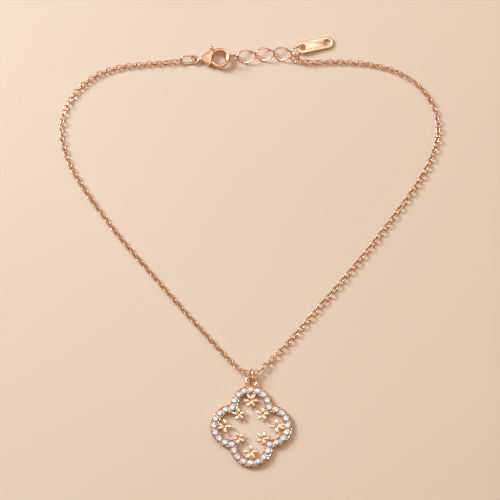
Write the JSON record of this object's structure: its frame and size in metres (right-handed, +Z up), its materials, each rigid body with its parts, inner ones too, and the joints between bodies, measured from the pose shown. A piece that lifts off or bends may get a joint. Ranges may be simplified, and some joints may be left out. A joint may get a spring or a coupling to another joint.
{
  "type": "four leaf clover pendant necklace",
  "caption": "Fine cable chain necklace laid in a loop, with a stone-set four leaf clover pendant, a lobster clasp, an extender and an end tag.",
  "frame": {"origin": "centre of the laid-out necklace's outline, on the surface that it lies on", "axes": "+Z up off the surface, +Y from the pendant towards the clasp, +X to the right as seen with the pendant nearest"},
  "size_m": [0.1359, 0.1566, 0.0042],
  "materials": {
    "rose_gold": "polished rose gold plating on brass",
    "clear_stone": "clear faceted cubic zirconia"
  },
  "bodies": {
    "necklace": {"pendant_frame": "rose_gold", "pendant_ring": "rose_gold", "chain_left": "rose_gold", "chain_right": "rose_gold", "clasp_ring": "rose_gold", "clasp_body": "rose_gold", "clasp_pin": "rose_gold", "extender_link_1": "rose_gold", "extender_link_2": "rose_gold", "extender_link_3": "rose_gold", "extender_link_4": "rose_gold", "tag_ring": "rose_gold", "end_ring": "rose_gold", "end_tag": "rose_gold", "stone_01": "clear_stone", "stone_02": "clear_stone", "stone_03": "clear_stone", "stone_04": "clear_stone", "stone_05": "clear_stone", "stone_06": "clear_stone", "stone_07": "clear_stone", "stone_08": "clear_stone", "stone_09": "clear_stone", "stone_10": "clear_stone", "stone_11": "clear_stone", "stone_12": "clear_stone", "stone_13": "clear_stone", "stone_14": "clear_stone", "stone_15": "clear_stone", "stone_16": "clear_stone", "stone_17": "clear_stone", "stone_18": "clear_stone", "stone_19": "clear_stone", "stone_20": "clear_stone", "stone_21": "clear_stone", "stone_22": "clear_stone", "stone_23": "clear_stone", "stone_24": "clear_stone", "stone_25": "clear_stone", "stone_26": "clear_stone", "stone_27": "clear_stone", "stone_28": "clear_stone", "stone_29": "clear_stone", "stone_30": "clear_stone", "stone_31": "clear_stone", "stone_32": "clear_stone"},
    "clasp_lever": {"clasp_lever": "rose_gold"}
  },
  "joints": [
    {"name": "clasp_lever_hinge", "type": "hinge", "parent": "necklace", "child": "clasp_lever", "pos_m": [-0.01499, 0.06779, 0.0015], "axis": [-0.0654, -0.0017, 0.9979], "range_deg": [0, 22], "stiffness_Nm_per_rad": 0.005, "springref_deg": -17.19}
  ]
}
